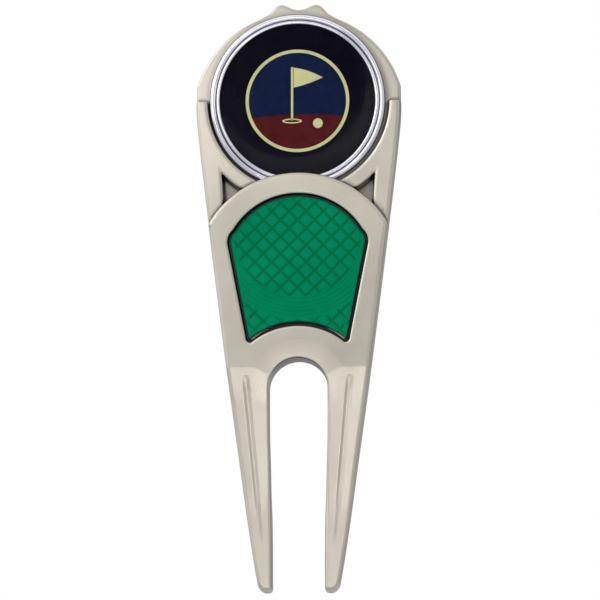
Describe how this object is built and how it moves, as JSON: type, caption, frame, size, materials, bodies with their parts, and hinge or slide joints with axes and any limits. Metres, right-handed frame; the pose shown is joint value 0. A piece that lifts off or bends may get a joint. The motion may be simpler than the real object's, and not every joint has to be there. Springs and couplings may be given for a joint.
{
  "type": "divot repair tool",
  "caption": "Two-pronged golf divot repair tool with a cast satin body, quilted rubber thumb pad, and a round domed ball marker that slides out of a U-shaped pocket at the head.",
  "frame": {"origin": "centre of the bounding box's bottom face: midway between the two prong tips, at tip height, at mid thickness", "axes": "+Z from the prong tips to the head, -Y out of the front face (pad and marker side), +X to the right seen from the front"},
  "size_m": [0.03, 0.005, 0.0869],
  "materials": {
    "satin_nickel": "satin nickel plate over a zinc die casting",
    "green_rubber": "soft matte green, quilted",
    "adhesive": "thin bonding film",
    "magnet_nickel": "nickel-plated disc magnet",
    "bright_chrome": "bright chrome plate on steel",
    "marker_enamel": "printed disc, near-black navy",
    "clear_resin": "clear domed resin"
  },
  "bodies": {
    "tool": {"tool_body": "satin_nickel", "front_grip_pad": "green_rubber", "front_pad_adhesive": "adhesive", "rear_grip_pad": "green_rubber", "rear_pad_adhesive": "adhesive", "pocket_magnet": "magnet_nickel", "magnet_adhesive": "adhesive"},
    "marker": {"marker_coin": "bright_chrome", "marker_print": "marker_enamel", "marker_dome": "clear_resin"}
  },
  "joints": [
    {"name": "marker_slide", "type": "slide", "parent": "tool", "child": "marker", "axis": [0, 0, 1], "range_m": [0, 0.03]}
  ]
}
